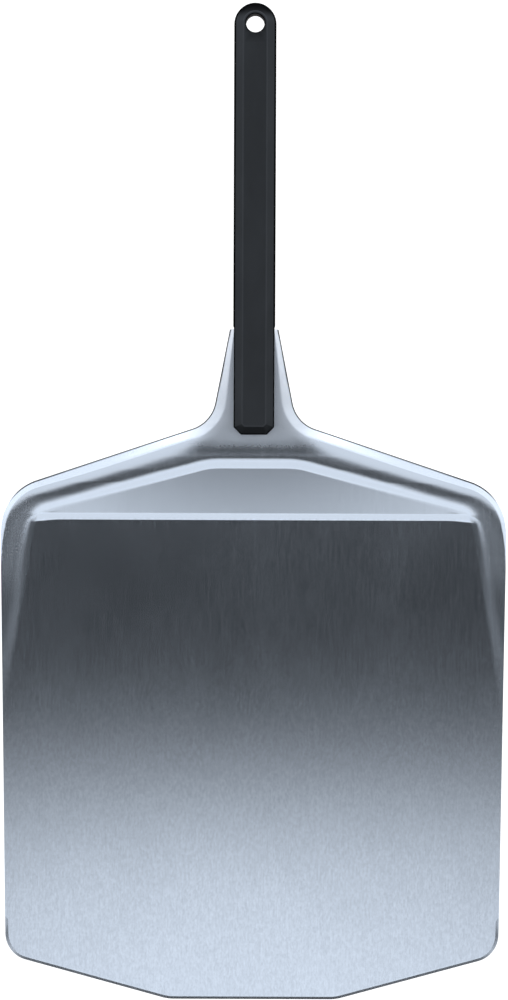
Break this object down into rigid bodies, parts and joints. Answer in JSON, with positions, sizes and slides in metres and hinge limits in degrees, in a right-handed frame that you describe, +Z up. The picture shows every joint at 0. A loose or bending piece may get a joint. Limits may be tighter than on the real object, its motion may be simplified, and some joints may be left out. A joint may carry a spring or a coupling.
{
  "type": "pizza peel",
  "caption": "Long-handled pizza peel: a flat sheet-metal blade with a bevelled front edge, a raised rear rim and neck, and a slim bevelled handle with a hanging hole.",
  "frame": {"origin": "centre of the bounding box in plan, on the plane that the pan's underside rests on", "axes": "+Y from the straight front edge towards the handle, +Z up out of the pan's top face, +X to the right when looking along +Y"},
  "size_m": [0.3558, 0.697, 0.0339],
  "materials": {
    "blade_aluminium": "brushed along the length, anodised satin",
    "handle_nylon": "fine moulded grain",
    "handle_nylon_back": "fine moulded grain",
    "screw_steel": "zinc plated",
    "insert_brass": "turned",
    "screw_steel_dark": "black oxide"
  },
  "bodies": {
    "root": {"blade": "blade_aluminium", "handle_front_shell": "handle_nylon", "handle_back_shell": "handle_nylon_back", "tang_screws": "screw_steel", "tang_inserts": "insert_brass", "shell_screws": "screw_steel_dark"}
  },
  "joints": []
}
